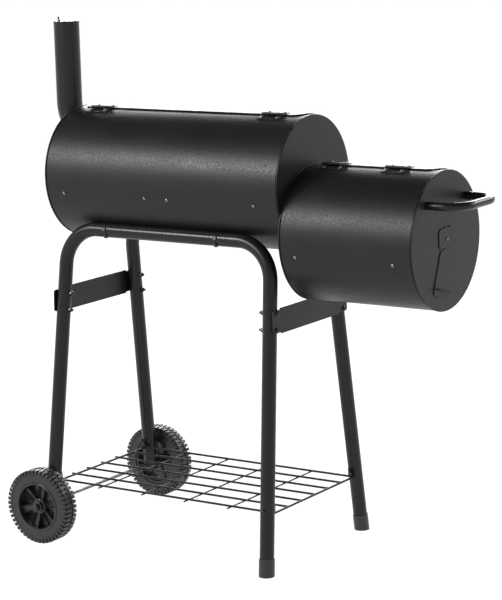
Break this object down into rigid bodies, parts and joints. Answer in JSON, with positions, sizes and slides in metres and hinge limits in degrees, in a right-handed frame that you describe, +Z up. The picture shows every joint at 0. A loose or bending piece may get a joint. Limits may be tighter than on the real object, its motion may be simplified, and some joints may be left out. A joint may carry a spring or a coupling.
{
  "type": "offset smoker",
  "caption": "Barrel smoker with a lower side firebox, bent chimney, hinged lids, lift-out grates, a tube stand with wheels and a wire shelf.",
  "frame": {"origin": "on the ground, under the middle of the whole object", "axes": "+Z up; +X towards the chimney and wheels, -X towards the firebox; -Y is the front, where the lids open"},
  "size_m": [1.11, 0.517, 1.1844],
  "materials": {
    "black_coating": "satin black powder coat",
    "zinc_plated_steel": "bright zinc plate",
    "black_zinc_steel": "black zinc plate",
    "grate_wire": "plated wire",
    "thermometer_case": "spun steel",
    "dial_face": "matt enamel",
    "needle_red": "matt enamel",
    "gauge_glass": "clear",
    "tyre_plastic": "moulded, slight sheen",
    "rim_plastic": "moulded, slight sheen",
    "cap_plastic": "moulded, matt"
  },
  "bodies": {
    "stand_and_drums": {"main_shell": "black_coating", "chimney_end_cap": "black_coating", "main_inner_cap": "black_coating", "firebox_shell": "black_coating", "firebox_inner_cap": "black_coating", "firebox_outer_cap": "black_coating", "hoop_back": "black_coating", "hoop_front": "black_coating", "wheel_leg_back": "black_coating", "wheel_leg_front": "black_coating", "foot_leg_back": "black_coating", "foot_leg_front": "black_coating", "chimney_side_brace": "black_coating", "firebox_side_brace": "black_coating", "end_handle": "black_coating", "chimney_pipe": "black_coating", "chimney_flange": "black_coating", "chimney_cap_lug": "black_coating", "bottom_shelf": "black_coating", "hinge_body_leaves": "black_coating", "grate_rails": "zinc_plated_steel", "rail_screws": "black_zinc_steel", "joining_screws": "black_zinc_steel", "sheet_nuts": "zinc_plated_steel", "hinge_pins": "zinc_plated_steel", "hinge_body_screws": "black_zinc_steel", "handle_screws": "black_zinc_steel", "pivot_screws": "black_zinc_steel", "pivot_nuts": "zinc_plated_steel", "flange_screws": "black_zinc_steel", "frame_bolts": "black_zinc_steel", "frame_nuts": "black_zinc_steel", "axle": "zinc_plated_steel", "foot_caps": "cap_plastic", "axle_caps": "cap_plastic", "hoop_plugs": "cap_plastic"},
    "main_lid_body": {"main_lid": "black_coating", "main_lid_hinge_leaves": "black_coating", "main_lid_screws": "black_zinc_steel", "main_lid_handle": "black_coating", "thermometer_case": "thermometer_case", "thermometer_dial": "dial_face", "thermometer_needle": "needle_red", "thermometer_glass": "gauge_glass", "thermometer_nut": "zinc_plated_steel"},
    "firebox_lid_body": {"firebox_lid": "black_coating", "firebox_lid_hinge_leaves": "black_coating", "firebox_lid_screws": "black_zinc_steel", "firebox_lid_handle": "black_coating"},
    "air_damper_body": {"air_damper": "black_coating"},
    "chimney_cap_body": {"chimney_cap": "black_coating"},
    "wheel_back": {"tyre_back": "tyre_plastic", "rim_back": "rim_plastic"},
    "wheel_front": {"tyre_front": "tyre_plastic", "rim_front": "rim_plastic"},
    "grate_chimney_half": {"cooking_grate_chimney": "grate_wire"},
    "grate_firebox_half": {"cooking_grate_firebox": "grate_wire"},
    "main_coal_grate_body": {"main_coal_grate": "grate_wire"},
    "firebox_grate_body": {"firebox_grate": "grate_wire"},
    "firebox_coal_grate_body": {"firebox_coal_grate": "grate_wire"}
  },
  "joints": [
    {"name": "main_lid_hinge", "type": "hinge", "parent": "stand_and_drums", "child": "main_lid_body", "pos_m": [0.171, 0.02528, 0.9831], "axis": [-1, 0, 0], "range_deg": [0, 120]},
    {"name": "firebox_lid_hinge", "type": "hinge", "parent": "stand_and_drums", "child": "firebox_lid_body", "pos_m": [-0.303, 0.01734, 0.88021], "axis": [-1, 0, 0], "range_deg": [0, 120]},
    {"name": "air_damper_pivot", "type": "hinge", "parent": "stand_and_drums", "child": "air_damper_body", "pos_m": [-0.466, 0, 0.732], "axis": [-1, 0, 0], "range_deg": [-90, 75]},
    {"name": "chimney_cap_pivot", "type": "hinge", "parent": "stand_and_drums", "child": "chimney_cap_body", "pos_m": [0.54, 0.003, 1.174], "axis": [0, 0, 1], "range_deg": [-110, 110]},
    {"name": "wheel_back_spin", "type": "hinge", "parent": "stand_and_drums", "child": "wheel_back", "pos_m": [0.469, 0.229, 0.086], "axis": [0, 1, 0], "continuous": true},
    {"name": "wheel_front_spin", "type": "hinge", "parent": "stand_and_drums", "child": "wheel_front", "pos_m": [0.469, -0.229, 0.086], "axis": [0, 1, 0], "continuous": true},
    {"name": "grate_chimney_half_lift", "type": "slide", "parent": "stand_and_drums", "child": "grate_chimney_half", "axis": [0, 0, 1], "range_m": [0, 0.05]},
    {"name": "grate_firebox_half_lift", "type": "slide", "parent": "stand_and_drums", "child": "grate_firebox_half", "axis": [0, 0, 1], "range_m": [0, 0.05]},
    {"name": "main_coal_grate_lift", "type": "slide", "parent": "stand_and_drums", "child": "main_coal_grate_body", "axis": [0, 0, 1], "range_m": [0, 0.06]},
    {"name": "firebox_grate_lift", "type": "slide", "parent": "stand_and_drums", "child": "firebox_grate_body", "axis": [0, 0, 1], "range_m": [0, 0.05]},
    {"name": "firebox_coal_grate_lift", "type": "slide", "parent": "stand_and_drums", "child": "firebox_coal_grate_body", "axis": [0, 0, 1], "range_m": [0, 0.06]}
  ]
}
